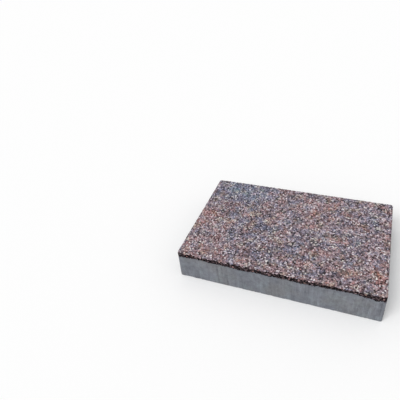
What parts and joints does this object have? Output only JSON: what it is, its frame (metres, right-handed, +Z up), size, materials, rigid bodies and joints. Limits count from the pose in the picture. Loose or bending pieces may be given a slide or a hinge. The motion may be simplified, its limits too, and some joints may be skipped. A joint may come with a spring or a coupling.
{
  "type": "concrete paver",
  "caption": "Rectangular concrete paving slab with a thin wearing face of mixed granite chips, laid flat on a bed to make a walking surface",
  "frame": {"origin": "middle of the underside, on the level bed that the paver lies on", "axes": "+X along the paver's length, +Y across its width, +Z up out of the wearing face"},
  "size_m": [0.3, 0.2, 0.05],
  "materials": {
    "grey_concrete": "smooth cast, matte",
    "granite_chips": "exposed granite chips, matte"
  },
  "bodies": {
    "root": {"concrete_body": "grey_concrete", "granite_facing": "granite_chips"}
  },
  "joints": []
}
